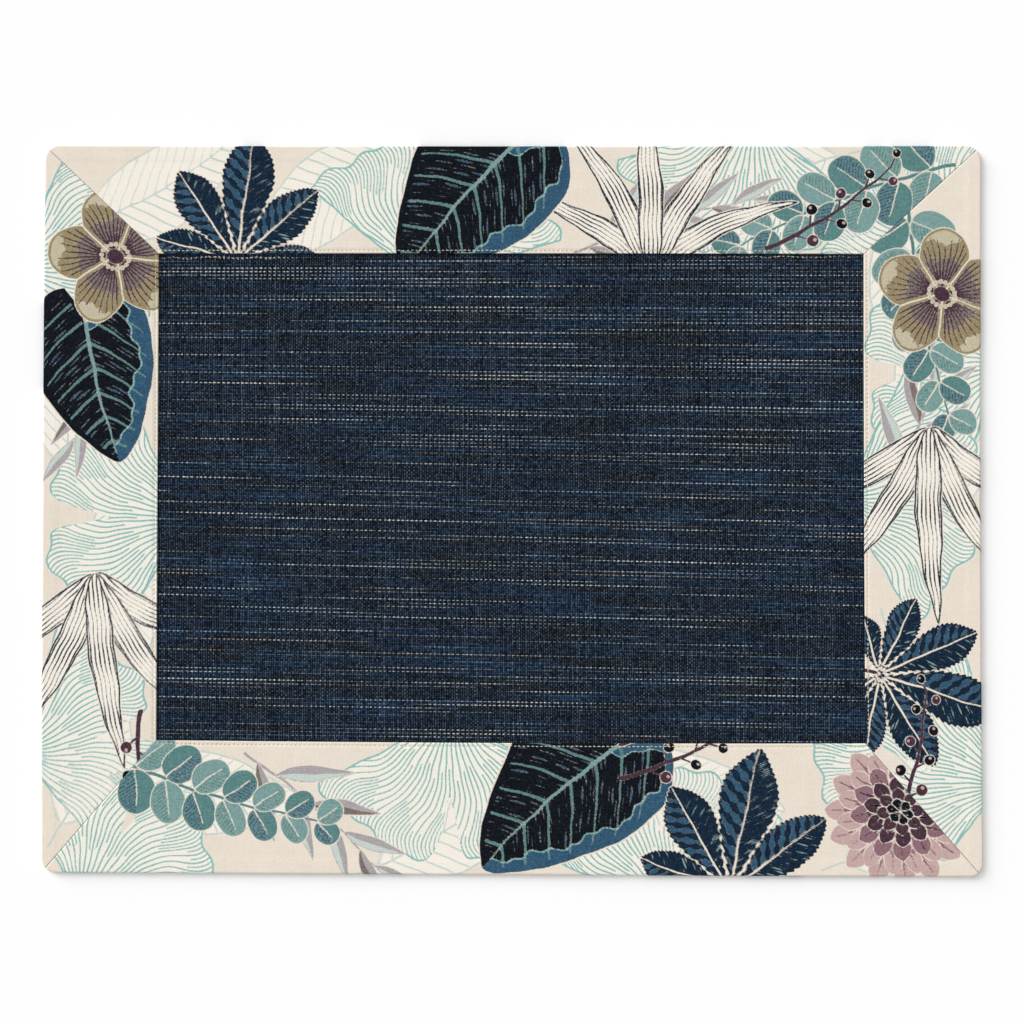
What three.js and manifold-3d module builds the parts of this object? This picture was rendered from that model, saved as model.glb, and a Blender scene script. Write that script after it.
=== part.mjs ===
// Placemat: a woven panel with four printed border strips, mitred at the corners.
// Millimetres, +Z up, lying flat. The origin is at the centre of the underside,
// +X runs along the long side and +Y away from the person seated at it.
import * as THREE from "three";
import { mergeVertices } from "three/addons/utils/BufferGeometryUtils.js";
import Module from "manifold-3d";

const wasm = await Module();
wasm.setup();

// Thicknesses
const PANEL_THICKNESS = 1.2;
const BORDER_THICKNESS = 1.0;
const CLOTH_GAP = 0.3;
const MAT_THICKNESS = PANEL_THICKNESS + CLOTH_GAP + BORDER_THICKNESS;

// The panel runs on under the border and stops inside its folded outer edge
const PANEL_WIDTH = 437;
const PANEL_DEPTH = 337;

// The outer edge is a soft fold, almost a half round
const FOLD_RADIUS = 1.2;
const FOLD_STEPS = 4;
const CURVE_STEPS = 8;
const ARC_HANDLE = 0.5523;

// Corners in order round the mat: outer corner before rounding, its radius, and the opening's corner
const CORNERS = [
  { name: "back_left", x: -223.8, y: 175.3, radius: 6.5, openX: -169.2, openY: 123.4 },
  { name: "front_left", x: -225.7, y: -173.1, radius: 7.0, openX: -170.5, openY: -109.7 },
  { name: "front_right", x: 225.7, y: -175.3, radius: 6.0, openX: 169.4, openY: -111.3 },
  { name: "back_right", x: 224.8, y: 175.1, radius: 7.5, openX: 168.5, openY: 123.2 },
];

// Edges, each from its own corner to the next: how far the middle bows outwards, at the rim and the opening
const EDGES = [
  { name: "left", rimBow: 0.3, openBow: 0.0 },
  { name: "front", rimBow: 0.1, openBow: 0.6 },
  { name: "right", rimBow: -0.6, openBow: -0.2 },
  { name: "back", rimBow: -0.3, openBow: 0.2 },
];

const PANEL_COLOUR = 0x2a323d;
const BORDER_COLOUR = 0xe6decf;

const next = (index) => (index + 1) % CORNERS.length;
const rimCorner = (index) => new THREE.Vector2(CORNERS[index].x, CORNERS[index].y);
const openCorner = (index) => new THREE.Vector2(CORNERS[index].openX, CORNERS[index].openY);

// The point at a distance from one corner along the straight line to another
function along(from, to, distance) {
  return from.clone().add(to.clone().sub(from).setLength(distance));
}

// The control point of a curve from one point to another whose middle bows outwards.
// Corners run anticlockwise, so outwards is to the right of the way from one to the next.
function bowControl(from, to, bow) {
  const way = to.clone().sub(from).normalize();
  const outwards = new THREE.Vector2(way.y, -way.x);
  return from.clone().lerp(to, 0.5).addScaledVector(outwards, 2 * bow);
}

// The mat's outline: four bowed edges joined by round corners
function rimShape() {
  const shape = new THREE.Shape();
  CORNERS.forEach((corner, index) => {
    const here = rimCorner(index);
    const there = rimCorner(next(index));
    const before = rimCorner((index + CORNERS.length - 1) % CORNERS.length);
    const enter = along(here, before, corner.radius);
    const leave = along(here, there, corner.radius);
    const arrive = along(there, here, CORNERS[next(index)].radius);
    if (index === 0) shape.moveTo(enter.x, enter.y);
    const enterHandle = enter.clone().lerp(here, ARC_HANDLE);
    const leaveHandle = leave.clone().lerp(here, ARC_HANDLE);
    shape.bezierCurveTo(enterHandle.x, enterHandle.y, leaveHandle.x, leaveHandle.y, leave.x, leave.y);
    const control = bowControl(leave, arrive, EDGES[index].rimBow);
    shape.quadraticCurveTo(control.x, control.y, arrive.x, arrive.y);
  });
  return shape;
}

// The opening in the border, through which the panel shows
function openingShape() {
  const start = openCorner(0);
  const shape = new THREE.Shape().moveTo(start.x, start.y);
  CORNERS.forEach((corner, index) => {
    const there = openCorner(next(index));
    const control = bowControl(openCorner(index), there, EDGES[index].openBow);
    shape.quadraticCurveTo(control.x, control.y, there.x, there.y);
  });
  return shape;
}

// One side's share of the border: a wedge between the mitre lines of its two corners, clear of both
function mitreWedge(index) {
  const reachOut = 1.3;
  const reachIn = -0.2;
  const mitre = (corner, share) => openCorner(corner).lerp(rimCorner(corner), share);
  const clearOf = (corner, side) => {
    const line = mitre(corner, 1).sub(mitre(corner, 0)).normalize();
    return new THREE.Vector2(-line.y, line.x).multiplyScalar((side * CLOTH_GAP) / 2);
  };
  const first = clearOf(index, 1);
  const second = clearOf(next(index), -1);
  return new THREE.Shape([
    mitre(index, reachIn).add(first),
    mitre(index, reachOut).add(first),
    mitre(next(index), reachOut).add(second),
    mitre(next(index), reachIn).add(second),
  ]);
}

// A shape carried straight up from one height to another
function prism(shape, bottom, top) {
  const geometry = new THREE.ExtrudeGeometry(shape, {
    depth: top - bottom,
    bevelEnabled: false,
    curveSegments: CURVE_STEPS,
  });
  return geometry.translate(0, 0, bottom);
}

// The whole mat's envelope, its edge rounded above and below
function foldedSlab(shape) {
  const geometry = new THREE.ExtrudeGeometry(shape, {
    depth: MAT_THICKNESS - 2 * FOLD_RADIUS,
    bevelThickness: FOLD_RADIUS,
    bevelSize: FOLD_RADIUS,
    bevelOffset: -FOLD_RADIUS,
    bevelSegments: FOLD_STEPS,
    curveSegments: CURVE_STEPS,
  });
  return geometry.translate(0, 0, FOLD_RADIUS);
}

function toSolid(geometry) {
  geometry.deleteAttribute("normal");
  geometry.deleteAttribute("uv");
  const merged = mergeVertices(geometry);
  return new wasm.Manifold(
    new wasm.Mesh({
      numProp: 3,
      vertProperties: new Float32Array(merged.attributes.position.array),
      triVerts: new Uint32Array(merged.index.array),
    }),
  );
}

function toGeometry(solid) {
  const mesh = solid.getMesh();
  const geometry = new THREE.BufferGeometry();
  geometry.setAttribute("position", new THREE.BufferAttribute(mesh.vertProperties, mesh.numProp));
  geometry.setIndex(new THREE.BufferAttribute(mesh.triVerts, 1));
  geometry.computeVertexNormals();
  return geometry;
}

function clothMesh(name, geometry, colour) {
  const material = new THREE.MeshStandardMaterial({ color: colour, roughness: 0.95, metalness: 0 });
  const mesh = new THREE.Mesh(geometry, material);
  mesh.name = name;
  return mesh;
}

function panel() {
  const geometry = new THREE.BoxGeometry(PANEL_WIDTH, PANEL_DEPTH, PANEL_THICKNESS);
  return clothMesh("panel", geometry.translate(0, 0, PANEL_THICKNESS / 2), PANEL_COLOUR);
}

// The four strips as one frame: it laps over the panel, turns down round its edge and stops at the opening
function borderFrame() {
  const bedTop = PANEL_THICKNESS + CLOTH_GAP;
  const bedHeight = 2 * bedTop;
  const bed = new THREE.BoxGeometry(PANEL_WIDTH + 2 * CLOTH_GAP, PANEL_DEPTH + 2 * CLOTH_GAP, bedHeight);
  const opening = prism(openingShape(), -MAT_THICKNESS, 2 * MAT_THICKNESS);
  return toSolid(foldedSlab(rimShape())).subtract(toSolid(bed)).subtract(toSolid(opening));
}

function borderStrips() {
  const frame = borderFrame();
  return EDGES.map((edge, index) => {
    const wedge = toSolid(prism(mitreWedge(index), -MAT_THICKNESS, 2 * MAT_THICKNESS));
    return clothMesh("border_" + edge.name, toGeometry(frame.intersect(wedge)), BORDER_COLOUR);
  });
}

const placemat = new THREE.Group();
placemat.name = "placemat";
placemat.add(panel(), ...borderStrips());

export default placemat;
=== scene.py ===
"""A cloth placemat lying flat: a dark slubbed panel in a printed cotton border, mitred and topstitched.

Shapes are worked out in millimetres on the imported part's frame and put into the meshes in metres.
"""

import math
from collections import namedtuple
from functools import partial

import bpy
import numpy as np
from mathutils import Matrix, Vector


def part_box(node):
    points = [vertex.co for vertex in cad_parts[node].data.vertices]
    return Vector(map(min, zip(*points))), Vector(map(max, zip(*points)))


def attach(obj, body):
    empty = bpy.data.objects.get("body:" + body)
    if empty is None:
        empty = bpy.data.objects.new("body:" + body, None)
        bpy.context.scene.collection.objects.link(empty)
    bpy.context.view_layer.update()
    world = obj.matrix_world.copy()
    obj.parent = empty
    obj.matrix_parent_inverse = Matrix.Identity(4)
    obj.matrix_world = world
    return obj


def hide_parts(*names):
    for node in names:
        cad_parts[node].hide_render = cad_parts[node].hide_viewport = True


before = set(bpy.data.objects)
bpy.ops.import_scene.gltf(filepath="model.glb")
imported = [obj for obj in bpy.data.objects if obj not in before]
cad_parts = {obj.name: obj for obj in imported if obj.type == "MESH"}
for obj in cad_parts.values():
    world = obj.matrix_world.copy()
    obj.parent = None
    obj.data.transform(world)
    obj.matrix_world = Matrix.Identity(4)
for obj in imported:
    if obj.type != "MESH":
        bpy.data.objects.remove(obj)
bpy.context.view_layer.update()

MM = 0.001
FAR = 99.0
SEED = 21

# Corners round the mat, anticlockwise: outer corner before rounding, its radius, the opening's corner
Corner = namedtuple("Corner", "x y radius open_x open_y")
CORNERS = {
    "back_left": Corner(-223.8, 175.3, 6.5, -169.2, 123.4),
    "front_left": Corner(-225.7, -173.1, 7.0, -170.5, -109.7),
    "front_right": Corner(225.7, -175.3, 6.0, 169.4, -111.3),
    "back_right": Corner(224.8, 175.1, 7.5, 168.5, 123.2),
}
CORNER_NAMES = list(CORNERS)
CORNER_STEPS = 24
SIDE_STEPS = 200
ARC_HANDLE = 0.5523

# Border strips, each from one corner to the next: how far its middle bows out at the rim and the opening
Strip = namedtuple("Strip", "start end rim_bow open_bow")
STRIPS = {
    "left": Strip("back_left", "front_left", 0.3, 0.0),
    "front": Strip("front_left", "front_right", 0.1, 0.6),
    "right": Strip("front_right", "back_right", -0.6, -0.2),
    "back": Strip("back_right", "back_left", -0.3, 0.2),
}

# Heights and widths of the cloth, from the frame where it holds them
PANEL_LOW, PANEL_HIGH = (np.array(corner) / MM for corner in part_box("panel"))
PANEL_TOP = PANEL_HIGH[2]
BORDER_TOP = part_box("border_front")[1].z / MM
LAP_BOTTOM = PANEL_TOP + 0.12
FLOOR_CLEARANCE = 0.03
FOLD_REACH = 0.55
HEM_TURN = 5.6
HEM_STEP = 0.12

# Rows of points round a strip's section, the faces of one strip, and the panel's grid
TURN_ROWS = 6
FOLD_ROWS = 8
HEM_ROWS = 3
HIDDEN_ROWS = 2
STRIP_FACES = 90000
PANEL_COLUMNS = 130
PANEL_ROWS = 100

# Sewing: the mitre seams are sunk and parted, by a share of the strip's length at each end
SEAM_GAP = 0.00018
SEAM_DEPTH = 0.08
SEAM_WIDTH = 0.42
GROOVE_DEPTH = 0.26
GROOVE_WIDTH = 0.55
STITCH_INSET = 1.5
STITCH_PITCH = 2.1
STITCH_LENGTH = 1.65
STITCH_THICKNESS = 0.42
STITCH_SINK = 0.3
STITCH_WAVER = 0.07

# Panel weave: every other pick is the slub yarn
WARP_PITCH = 1.1
PICK_PITCH = 0.86
SLUB_RUNS = 215
GOLDEN_SHARE = 0.618
FLOAT_THICKNESS = 0.3
WARP_KNOTS = 14
KNOT_LENGTH = 1.3 * PICK_PITCH
KNOT_WARMTH = 0.25

# The picks fall to the right, most steeply at one height, and less above and below it, as a cosine
SKEW_SLOPE = 0.022
SKEW_HEIGHT = -25.0
SKEW_FADE = 89.0


def linear(code):
    """An sRGB hex colour as linear red, green, blue and a full alpha."""
    channels = np.array([int(code[at:at + 2], 16) for at in (1, 3, 5)]) / 255
    straight = np.where(channels <= 0.04045, channels / 12.92, ((channels + 0.055) / 1.055) ** 2.4)
    return (*straight.tolist(), 1.0)


# Shapes shared by the pieces


def curve(points, share):
    """Points of a curve by its control points: each round replaces neighbours by their mix at share."""
    rounds = [np.asarray(point, float)[None, :] * np.ones((len(share), 1)) for point in points]
    mix = share[:, None]
    while len(rounds) > 1:
        rounds = [first + mix * (second - first) for first, second in zip(rounds, rounds[1:])]
    return rounds[0]


def bow_control(start, end, bow):
    """The control point that makes a curve's middle stand off its chord by bow, to the right of the way."""
    way = (end - start) / np.linalg.norm(end - start)
    return (start + end) / 2 + 2 * bow * np.array([way[1], -way[0]])


def rim_corner(name):
    """An outer corner before rounding, in plan."""
    return np.array([CORNERS[name].x, CORNERS[name].y])


def open_corner(name):
    """A corner of the opening, in plan."""
    return np.array([CORNERS[name].open_x, CORNERS[name].open_y])


def toward(start, end, distance):
    """The point at a distance from start on the straight way to end."""
    return start + (end - start) / np.linalg.norm(end - start) * distance


def corner_round(name, share):
    """The rounded outer corner, a smooth arc between points one radius away along its two edges."""
    here = rim_corner(name)
    at = CORNER_NAMES.index(name)
    enter = toward(here, rim_corner(CORNER_NAMES[at - 1]), CORNERS[name].radius)
    leave = toward(here, rim_corner(CORNER_NAMES[(at + 1) % len(CORNERS)]), CORNERS[name].radius)
    handles = [enter + ARC_HANDLE * (here - enter), leave + ARC_HANDLE * (here - leave)]
    return curve([enter, *handles, leave], share)


def rim_edge(strip, share):
    """A strip's outer edge: half a corner, the bowed side, half a corner, at even steps of its length."""
    first = corner_round(strip.start, np.linspace(0.5, 1, CORNER_STEPS))
    last = corner_round(strip.end, np.linspace(0, 0.5, CORNER_STEPS))
    control = bow_control(first[-1], last[0], strip.rim_bow)
    side = curve([first[-1], control, last[0]], np.linspace(0, 1, SIDE_STEPS))
    line = np.concatenate([first, side[1:], last[1:]])
    run = places_from(np.linalg.norm(np.diff(line, axis=0), axis=1))
    return np.column_stack([np.interp(share, run, line[:, axis]) for axis in (0, 1)])


def open_edge(strip, share):
    """A strip's inner edge, the bowed side of the opening."""
    start, end = open_corner(strip.start), open_corner(strip.end)
    return curve([start, bow_control(start, end, strip.open_bow), end], share)


def opening_box():
    """The lowest and highest corners of the opening, in plan."""
    corners = np.array([open_corner(name) for name in CORNERS])
    return corners.min(axis=0), corners.max(axis=0)


def places_from(steps):
    """Running places from 0 to 1 over a list of steps."""
    return np.concatenate([[0], np.cumsum(steps)]) / np.sum(steps)


def ease(low, high, value):
    """0 at low, 1 at high, and 3t^2 - 2t^3 between them."""
    share = np.clip((value - low) / (high - low), 0, 1)
    return share * share * (3 - 2 * share)


def hump(value, width):
    """A soft hump of height 1 about zero, exp(-(value / width)^2)."""
    return np.exp(-((value / width) ** 2))


def add_object(name, data):
    """Puts a mesh, light or camera into the scene as an object at the origin."""
    made = bpy.data.objects.new(name, data)
    bpy.context.scene.collection.objects.link(made)
    return made


def new_piece(name, points_mm, faces, material, more_faces=()):
    """A smooth mesh object from an array of points and one of equal faces, with a few larger flat ones."""
    mesh = bpy.data.meshes.new(name)
    mesh.vertices.add(len(points_mm))
    mesh.vertices.foreach_set("co", (points_mm * MM).astype(np.float32).ravel())
    loops = np.concatenate([faces.ravel(), *more_faces]).astype(np.int32)
    sizes = np.array([faces.shape[1]] * len(faces) + [len(face) for face in more_faces])
    starts = np.cumsum(sizes) - sizes
    mesh.loops.add(len(loops))
    mesh.loops.foreach_set("vertex_index", loops)
    mesh.polygons.add(len(sizes))
    mesh.polygons.foreach_set("loop_start", starts.astype(np.int32))
    mesh.polygons.foreach_set("use_smooth", np.arange(len(sizes)) < len(faces))
    mesh.update(calc_edges=True)
    mesh.materials.append(material)
    piece = add_object(name, mesh)
    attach(piece, "root")
    return piece


def set_values(piece, name, values):
    """One number for each point, which a material reads by its name."""
    attribute = piece.data.attributes.new(name, "FLOAT", "POINT")
    attribute.data.foreach_set("value", np.asarray(values, np.float32).ravel())


def grid_faces(rows, columns):
    """Quads of a grid of points numbered row by row, whose last column joins its first."""
    index = np.arange(rows * columns).reshape(rows, columns)
    following = np.roll(index, -1, axis=1)
    return np.stack([index[:-1], following[:-1], following[1:], index[1:]], axis=-1).reshape(-1, 4)


def carried_section(name, points_mm, material):
    """A closed solid from a grid of points: each row is a closed section, the first and last its ends."""
    rows, columns = points_mm.shape[:2]
    first = np.arange(columns)[::-1]
    last = np.arange(columns) + (rows - 1) * columns
    faces = grid_faces(rows, columns)
    return new_piece(name, points_mm.reshape(-1, 3), faces, material, [first, last])


def lay_flat(piece, row_places, column_places, bands):
    """The piece's own flat map: its closed grid is slit along the first column and cut across into bands
    that lie one above the other, a little apart, and its two ends lie as small discs in a narrow space
    above them. Places run from 0 to 1."""
    band_length, bands_height, band_fill = 0.99, 0.97, 0.98
    end_places, end_radius = [(0.25, 0.985), (0.75, 0.985)], 0.01
    rows, columns = len(row_places), len(column_places) - 1
    row, column = np.divmod(np.arange((rows - 1) * columns), columns)
    band = np.minimum(np.floor(row_places[row] * bands), bands - 1)
    corners = [(row, column), (row, column + 1), (row + 1, column + 1), (row + 1, column)]
    u = np.stack([band_length * (row_places[at] * bands - band) for at, _ in corners], axis=-1)
    v = np.stack([band + band_fill * column_places[at] for _, at in corners], axis=-1)
    sides = np.stack([u, v * bands_height / bands], axis=-1).reshape(-1, 2)
    angle = np.linspace(0, 2 * math.pi, columns, endpoint=False)
    disc = end_radius * np.stack([np.cos(angle), np.sin(angle)], axis=-1)
    places = np.concatenate([sides, *(disc + centre for centre in end_places)])
    layer = piece.data.uv_layers.new(name="OFBake")
    layer.data.foreach_set("uv", places.astype(np.float32).ravel())


# Print motifs. Each takes places along (u) and across (v) its own axis, in mm, and its size, and gives
# layers from the bottom up: the ink, or None to show the cloth, and the distance to that layer's edge,
# which is below zero inside.


def chance(key):
    """A number from 0 to 1 that looks drawn at random: the fraction of a large multiple of a sine."""
    return np.abs(np.sin(key) * 4375.85) % 1


def hand_drawn(u, v):
    """Places put off by a slow waver of up to 0.5 mm, two sines each way, so that no line is ruled."""
    off_u = 0.34 * np.sin(v / 4.3 + 0.9 * np.sin(u / 7.1)) + 0.14 * np.sin(v / 1.9 + u / 5.3)
    off_v = 0.34 * np.sin(u / 5.1 + 0.8 * np.sin(v / 6.3)) + 0.14 * np.sin(u / 2.1 - v / 4.7)
    return u + off_u, v + off_v


def lines(value, pitch):
    """Distance to the nearest of many lines a pitch apart."""
    return np.abs(value - pitch * np.round(value / pitch))


def flecks(along, across, length, pitch, width):
    """Distance to rows of short tapering dashes: a row every pitch across and in it a dash every length
    along, half width = width / 2 sin(pi share), begun and sized by chance."""
    row = np.round(across / pitch)
    turns = along / length + chance(row * 12.99 + 4.1)
    dash = np.floor(turns)
    half = width / 2 * chance(dash * 37.7 + row * 78.23) * np.sin(np.pi * (turns - dash))
    return np.abs(across - row * pitch) - half + 0.15


def stroke(u, v, path, start_width, end_width):
    """Distance to a line through path less its half width, which runs evenly from the start to the end."""
    nearest = np.full(u.shape, FAR)
    steps = len(path) - 1
    for at in range(steps):
        (from_u, from_v), (to_u, to_v) = path[at], path[at + 1]
        run_u, run_v = to_u - from_u, to_v - from_v
        share = ((u - from_u) * run_u + (v - from_v) * run_v) / (run_u**2 + run_v**2)
        share = np.clip(share, 0, 1)
        gap = np.hypot(u - from_u - share * run_u, v - from_v - share * run_v)
        half = (start_width + (end_width - start_width) * (at + share) / steps) / 2
        nearest = np.minimum(nearest, gap - half)
    return nearest


def arched(length, bend, steps=8):
    """A path along u whose far end has curved off sideways by bend: v = bend times the share squared."""
    share = np.linspace(0, 1, steps + 1)
    return np.column_stack([length * share, bend * share**2])


def blade(u, v, length, half_width, fullness=1.0, belly=1.0):
    """Distance to a leaf's edge: half width = half_width sin(pi share^belly)^fullness from base to tip."""
    within = np.clip(u, 0, length)
    half = half_width * np.abs(np.sin(np.pi * (within / length) ** belly)) ** fullness
    flank = (np.abs(v) - half) / math.hypot(1, math.pi * half_width / length)
    return np.where(within == u, flank, np.hypot(u - within, v))


def oval(u, v, half_length, half_width):
    """Distance to an ellipse's edge, near enough: its scaled radius less one, times the half width."""
    return (np.hypot(u / half_length, v / half_width) - 1) * half_width


def turned(u, v, base, degrees):
    """Places along and across an axis that starts at base and is turned from u by some degrees."""
    cosine, sine = math.cos(math.radians(degrees)), math.sin(math.radians(degrees))
    along, across = u - base[0], v - base[1]
    return along * cosine + across * sine, across * cosine - along * sine


def petals(u, v, count, offset):
    """Folds the plane into count equal sectors: places along and across the nearest one's axis, and the
    distance to that sector's side."""
    radius, sector = np.hypot(u, v), 2 * math.pi / count
    turns = np.arctan2(v, u) / sector + offset
    angle = (turns - np.round(turns)) * sector
    side = radius * np.sin(sector / 2 - np.abs(angle))
    return radius * np.cos(angle), radius * np.sin(angle), side


def inside(leaf, margin, *bounds):
    """What is common to the bounds, kept a margin inside the leaf's edge."""
    return np.maximum.reduce([leaf + margin, *bounds])


def chestnut_leaf(u, v, size):
    """Seven toothed leaflets spread like a hand, the middle one longest, dark with a bare midrib: light
    streaks lie between the veins on one side and flecks on the other."""
    stalk = stroke(u, v, [(-0.6 * size, -0.14 * size), (-0.3 * size, -0.03 * size), (0, 0)], 2.4, 1.6)
    layers = [(None, stalk - 0.5), ("plum", stalk)]
    for angle in (-124, 124, -82, 82, -41, 41, 0):
        along, across = turned(u, v, (0, 0), angle)
        length = size * (1 - 0.0042 * abs(angle))
        reach, pitch = np.abs(across), 0.1 * length
        slant = along - 0.8 * reach
        tooth = 0.4 * np.cos(4 * np.pi * slant / pitch)
        leaf = blade(along, across, length, 0.2 * length, 0.85, 1.55) + tooth
        rough = 1 + 0.4 * np.sin(0.9 * reach + 0.3 * along)
        streak = 0.78 * lines(slant + pitch / 2, pitch) - 0.2 * pitch * rough
        streak = inside(leaf, 0.9, streak, 0.9 - across)
        fleck = inside(leaf, 0.9, flecks(reach, slant, 7.0, 1.6, 1.6), 1.2 + across)
        rib = inside(leaf, 0.3, stroke(along, across, [(0.05 * length, 0), (length, 0)], 1.4, 0.7))
        layers += [(None, leaf - 0.55), ("navy", leaf), ("petrol", streak), ("sage", fleck), (None, rib)]
    return layers


def heart_leaf(u, v, size):
    """A dark heart-shaped leaf with pale veins, flecks between them and a lighter band along one margin."""
    half_width, pitch = 0.43 * size, 0.17 * size
    v = v - 0.13 * u * np.abs(u) / size
    reach = np.abs(v)
    outline = blade(u + 0.24 * size, v, 1.24 * size, half_width, 0.66, 0.62)
    cleft = np.where(u < 0, 0.9 * (reach + 0.5 * u), np.hypot(u, v))
    leaf = np.maximum(outline, -cleft)
    slant = u - 0.5 * reach - 0.35 * reach**2 / half_width
    from_vein = 0.75 * lines(slant, pitch)
    vein = inside(leaf, 2.2, from_vein - 0.75 + 0.4 * reach / half_width)
    fleck = inside(leaf, 2.6, flecks(reach, 0.75 * slant, 10.0, 1.8, 1.5), 1.3 - from_vein)
    depth = leaf + 5.2 + 1.1 * np.sin(0.23 * u) + 0.5 * np.sin(0.71 * u)
    band = inside(leaf, 0, -depth, -v)
    rule = inside(leaf, 0, np.abs(depth) - 0.36, -v)
    midrib = inside(leaf, 0.4, stroke(u, v, [(0, 0), (0.94 * size, 0)], 2.2, 0.8))
    stalk = stroke(u, v, [(-0.5 * size, 0.16 * size), (-0.2 * size, 0.03 * size), (0, 0)], 2.8, 2.0)
    return [
        (None, leaf - 0.6), ("black", leaf), ("petrol", fleck), ("petrol", band), ("teal", vein),
        ("aqua", rule), ("sage", midrib), (None, stalk - 0.5), ("plum", stalk),
    ]


def round_sprig(u, v, size):
    """A curved stem with round leaflets in pairs, hatched on one half, that grow smaller to its tip."""
    bend, pairs = 0.16 * size, 7
    layers = [("teal", stroke(u, v, arched(size, bend), 1.8, 0.8))]
    for at in range(pairs):
        share = 0.1 + 0.86 * at / (pairs - 1)
        radius = size * (0.108 - 0.045 * share)
        base = (size * share, bend * share**2)
        lean = math.degrees(math.atan(2 * bend * share / size))
        for side in (-1, 1):
            along, across = turned(u, v, base, lean + side * (66 - 26 * share))
            leaflet = oval(along - 1.12 * radius, across, radius, 0.82 * radius)
            rib = stroke(along, across, [(0.1 * radius, 0), (1.75 * radius, 0)], 0.9, 0.7)
            hatch = inside(leaflet, 0.7, 0.85 * lines(along + 0.6 * across, 1.75) - 0.36, across)
            light, dark = (("teal", "petrol"), ("sage", "teal"))[(at + (side > 0)) % 2]
            layers += [(None, leaflet - 0.5), (light, leaflet), (dark, hatch), (None, rib)]
    return layers


def fan_leaf(u, v, size):
    """A fan of 124 degrees on a stalk, in fine ribs that fork twice on the way out, its rim notched."""
    radius, angle = np.hypot(u, v), np.arctan2(v, u)
    spread, pitch = math.radians(62), math.radians(7.2)
    wave = 1 - 0.035 * np.cos(9 * angle) - 0.02 * np.cos(23 * angle + 1)
    rim = size * (wave - 0.4 * hump(angle, 0.075))
    fan = np.maximum(0.9 * (radius - rim), radius * np.sin(np.minimum(np.abs(angle) - spread, 1.5)))

    def ribs(offset, begins, width):
        """Distance to ribs a pitch apart that waver a little and begin at a share of the size."""
        turns = angle / pitch + offset + 0.012 * radius * np.sin(0.13 * radius)
        gap = radius * np.sin(np.abs(turns - np.round(turns)) * pitch) - width / 2
        return inside(fan, 0.3, gap, begins * size * (1 + 0.12 * np.sin(17 * angle)) - radius)

    stalk = stroke(u, v, [(-0.6 * size, -0.1 * size), (-0.25 * size, -0.02 * size), (0, 0)], 1.2, 2.0)
    edge = np.abs(fan + 0.3) - 0.42
    return [
        (None, fan - 0.4), ("white", fan), ("aqua", ribs(0.0, 0.14, 0.78)), ("aqua", ribs(0.5, 0.4, 0.74)),
        ("aqua", ribs(0.25, 0.76, 0.68)), ("aqua", ribs(0.75, 0.76, 0.68)), ("aqua", edge), ("aqua", stalk),
    ]


def dahlia(u, v, size):
    """A many-petalled bloom: rings of pointed petals laid from the outside in, each darker at its foot."""
    rings = [
        (1.0, 0.42, 15, 0.0, "rose", "mauve"), (0.84, 0.3, 15, 0.5, "rose", "mauve"),
        (0.66, 0.2, 12, 0.2, "mauve", "plum"), (0.48, 0.12, 10, 0.6, "plum", "black"),
        (0.32, 0.0, 8, 0.1, "plum", "black"), (0.18, 0.0, 6, 0.4, "black", "black"),
    ]
    layers = []
    for outer, inner, count, offset, tip, foot in rings:
        along, across, side = petals(u, v, count, offset)
        length = (outer - inner) * size
        half_width = 0.66 * math.pi * outer * size / count
        along = along - inner * size
        petal = np.maximum(blade(along, across, length, half_width, 0.7, 1.7), 0.25 - side)
        shade = inside(petal, 0, along - length * 0.6 + 1.1 * np.abs(across) + np.sin(3 * across))
        rib = inside(petal, 0.6, np.abs(across) - 0.36, along - 0.86 * length)
        layers += [(None, petal - 0.5), (tip, petal), (foot, shade), (foot, rib)]
    return layers


def blossom(u, v, size):
    """A five-petalled flower: pale tips, a dusky throat lined with fine veins, stamens about a dark eye."""
    along, across, side = petals(u, v, 5, 0.0)
    rough = 0.9 * np.sin(0.5 * across + 0.2 * along) + 0.5 * np.sin(1.4 * across)
    petal = np.maximum(oval(along - 0.56 * size, across, 0.47 * size, 0.38 * size), 0.36 - side)
    tip = inside(petal, 0.9, 0.8 * size - along + rough)
    throat = inside(petal, 0.9, along - 0.56 * size - rough + 0.96 * across**2 / size)
    veins = lines(across / np.maximum(along, 1), 0.13) * along - 0.62 + 0.4 * along / size
    veins = inside(petal, 1.1, veins, along - 0.84 * size - 2.5 * rough)
    eye = np.hypot(u, v) - 0.12 * size
    spokes, off_spoke, _ = petals(u, v, 17, 0.3)
    stamens = np.hypot(spokes - 0.2 * size, off_spoke) - 0.9
    return [
        (None, petal - 0.5), ("taupe", petal), ("sand", tip), ("umber", throat), ("plum", veins),
        ("plum", eye), (None, stamens - 0.3), ("sand", stamens),
    ]


def slim_sprig(u, v, size):
    """A stem with slim pointed leaves on alternate sides."""
    bend, leaves = -0.14 * size, 9
    layers = [("lilac", stroke(u, v, arched(size, bend), 1.3, 0.7))]
    for at in range(leaves):
        share = 0.08 + 0.88 * at / (leaves - 1)
        base = (size * share, bend * share**2)
        side = 1 if at % 2 else -1
        lean = math.degrees(math.atan(2 * bend * share / size))
        along, across = turned(u, v, base, lean + side * (46 - 34 * share))
        length = size * (0.42 - 0.14 * share)
        leaf = blade(along, across, length, 0.1 * length, 1.0, 0.8)
        half = inside(leaf, 0.3, across, 0.5 - along)
        layers += [(None, leaf - 0.4), ("lilac", leaf), ("umber" if at % 3 == 0 else "mist", half)]
    return layers


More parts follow.
